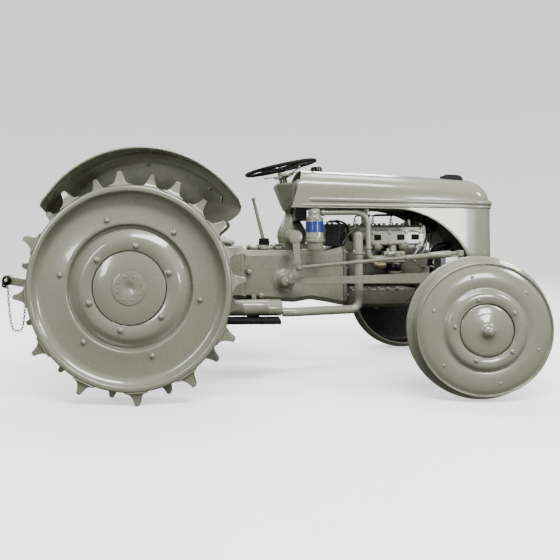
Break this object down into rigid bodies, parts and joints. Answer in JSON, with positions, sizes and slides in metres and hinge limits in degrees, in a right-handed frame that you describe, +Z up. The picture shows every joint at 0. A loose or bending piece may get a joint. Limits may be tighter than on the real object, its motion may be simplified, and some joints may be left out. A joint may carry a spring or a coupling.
{
  "type": "vintage farm tractor",
  "caption": "Vintage farm tractor on lugged steel rear wheels and ringed steel front wheels, with linked steering and rear lift links; it rolls, steers, and raises its links.",
  "frame": {"origin": "Under the middle of the length, on the ground between the wheels.", "axes": "+X is forward, +Y is the driver's left, +Z is up."},
  "size_m": [2.913, 1.525, 1.3148],
  "materials": {
    "paint": "glossy light olive grey enamel",
    "black": "black enamel",
    "rubber": "black moulded rubber",
    "core": "dark painted core",
    "mat": "matt black case"
  },
  "bodies": {
    "chassis": {"transmission_case": "paint", "gear_cover": "paint", "gear_lever": "paint", "steering_housing": "paint", "dash_panel": "paint", "fuel_tank": "paint", "engine_block": "paint", "oil_pan": "paint", "axle_support": "paint", "radiator": "core", "radius_rod_right": "paint", "radius_rod_left": "paint", "front_axle": "paint", "rear_axle_housing": "paint", "lift_cover": "paint", "exhaust_manifold": "paint", "exhaust_pipe": "paint", "muffler": "paint", "carburettor": "paint", "air_cleaner": "paint", "air_pipe": "paint", "battery": "mat", "seat": "paint", "seat_spring": "paint", "clutch_pedal": "paint", "brake_pedal": "paint", "step_right": "rubber", "step_left": "rubber", "fender_right": "paint", "fender_left": "paint", "hood": "paint", "grille": "paint", "radiator_cap": "black", "fuel_cap": "black"},
    "steering_wheel": {"steering_wheel": "rubber"},
    "drop_arm_right": {"drop_arm_right": "paint"},
    "drag_link_right": {"drag_link_right": "paint"},
    "knuckle_right": {"knuckle_right": "paint"},
    "front_wheel_right": {"front_wheel_right": "paint"},
    "rear_wheel_right": {"rear_rim_right": "paint", "rear_disc_right": "paint"},
    "lift_arm_right": {"lift_arm_right": "paint"},
    "lift_rod_right": {"lift_rod_right": "paint"},
    "lower_link_right": {"lower_link_right": "paint", "hitch_chain": "black"},
    "drop_arm_left": {"drop_arm_left": "paint"},
    "drag_link_left": {"drag_link_left": "paint"},
    "knuckle_left": {"knuckle_left": "paint"},
    "front_wheel_left": {"front_wheel_left": "paint"},
    "rear_wheel_left": {"rear_rim_left": "paint", "rear_disc_left": "paint"},
    "lift_arm_left": {"lift_arm_left": "paint"},
    "lift_rod_left": {"lift_rod_left": "paint"},
    "lower_link_left": {"lower_link_left": "paint"}
  },
  "joints": [
    {"name": "steering_wheel_turn", "type": "hinge", "parent": "chassis", "child": "steering_wheel", "pos_m": [0.1585, 0, 1.262], "axis": [-0.1908, 0, 0.9816], "range_deg": [-420, 420]},
    {"name": "knuckle_right_steer", "type": "hinge", "parent": "chassis", "child": "knuckle_right", "pos_m": [1.0915, -0.53, 0.365], "axis": [0, 0, 1], "range_deg": [-28, 28]},
    {"name": "front_wheel_right_spin", "type": "hinge", "parent": "knuckle_right", "child": "front_wheel_right", "pos_m": [1.0915, -0.623, 0.365], "axis": [0, 1, 0], "continuous": true},
    {"name": "rear_wheel_right_spin", "type": "hinge", "parent": "chassis", "child": "rear_wheel_right", "pos_m": [-0.6865, -0.66, 0.592], "axis": [0, 1, 0], "continuous": true},
    {"name": "drop_arm_right_swing", "type": "hinge", "parent": "chassis", "child": "drop_arm_right", "pos_m": [0.2155, -0.245, 0.831], "axis": [0, 1, 0], "range_deg": [-20, 20]},
    {"name": "drag_link_right_pivot", "type": "hinge", "parent": "drop_arm_right", "child": "drag_link_right", "pos_m": [0.2265, -0.283, 0.655], "axis": [0, 1, 0], "range_deg": [-20, 20]},
    {"name": "lift_arm_right_raise", "type": "hinge", "parent": "chassis", "child": "lift_arm_right", "pos_m": [-0.7065, -0.175, 0.84], "axis": [0, 1, 0], "range_deg": [-25, 8]},
    {"name": "lift_rod_right_pivot", "type": "hinge", "parent": "lift_arm_right", "child": "lift_rod_right", "pos_m": [-0.9765, -0.197, 0.815], "axis": [0, 1, 0], "range_deg": [-8, 25]},
    {"name": "lower_link_right_raise", "type": "hinge", "parent": "chassis", "child": "lower_link_right", "pos_m": [-0.5665, -0.25, 0.42], "axis": [0, 1, 0], "range_deg": [-15.25, 4.9]},
    {"name": "knuckle_left_steer", "type": "hinge", "parent": "chassis", "child": "knuckle_left", "pos_m": [1.0915, 0.53, 0.365], "axis": [0, 0, 1], "range_deg": [-28, 28]},
    {"name": "front_wheel_left_spin", "type": "hinge", "parent": "knuckle_left", "child": "front_wheel_left", "pos_m": [1.0915, 0.623, 0.365], "axis": [0, 1, 0], "continuous": true},
    {"name": "rear_wheel_left_spin", "type": "hinge", "parent": "chassis", "child": "rear_wheel_left", "pos_m": [-0.6865, 0.66, 0.592], "axis": [0, 1, 0], "continuous": true},
    {"name": "drop_arm_left_swing", "type": "hinge", "parent": "chassis", "child": "drop_arm_left", "pos_m": [0.2155, 0.245, 0.831], "axis": [0, 1, 0], "range_deg": [-20, 20]},
    {"name": "drag_link_left_pivot", "type": "hinge", "parent": "drop_arm_left", "child": "drag_link_left", "pos_m": [0.2265, 0.283, 0.655], "axis": [0, 1, 0], "range_deg": [-20, 20]},
    {"name": "lift_arm_left_raise", "type": "hinge", "parent": "chassis", "child": "lift_arm_left", "pos_m": [-0.7065, 0.175, 0.84], "axis": [0, 1, 0], "range_deg": [-25, 8]},
    {"name": "lift_rod_left_pivot", "type": "hinge", "parent": "lift_arm_left", "child": "lift_rod_left", "pos_m": [-0.9765, 0.197, 0.815], "axis": [0, 1, 0], "range_deg": [-8, 25]},
    {"name": "lower_link_left_raise", "type": "hinge", "parent": "chassis", "child": "lower_link_left", "pos_m": [-0.5665, 0.25, 0.42], "axis": [0, 1, 0], "range_deg": [-15.25, 4.9]}
  ],
  "couplings": [
    {"joint": "knuckle_right_steer", "follows": "steering_wheel_turn", "ratio": 0.066667},
    {"joint": "drop_arm_right_swing", "follows": "steering_wheel_turn", "ratio": 0.044286},
    {"joint": "drag_link_right_pivot", "follows": "steering_wheel_turn", "ratio": -0.044286},
    {"joint": "knuckle_left_steer", "follows": "steering_wheel_turn", "ratio": 0.066667},
    {"joint": "drop_arm_left_swing", "follows": "steering_wheel_turn", "ratio": -0.044286},
    {"joint": "drag_link_left_pivot", "follows": "steering_wheel_turn", "ratio": 0.044286},
    {"joint": "lift_arm_left_raise", "follows": "lift_arm_right_raise", "ratio": 1},
    {"joint": "lift_rod_right_pivot", "follows": "lift_arm_right_raise", "ratio": -1},
    {"joint": "lower_link_right_raise", "follows": "lift_arm_right_raise", "ratio": 0.61},
    {"joint": "lift_rod_left_pivot", "follows": "lift_arm_right_raise", "ratio": -1},
    {"joint": "lower_link_left_raise", "follows": "lift_arm_right_raise", "ratio": 0.61}
  ]
}
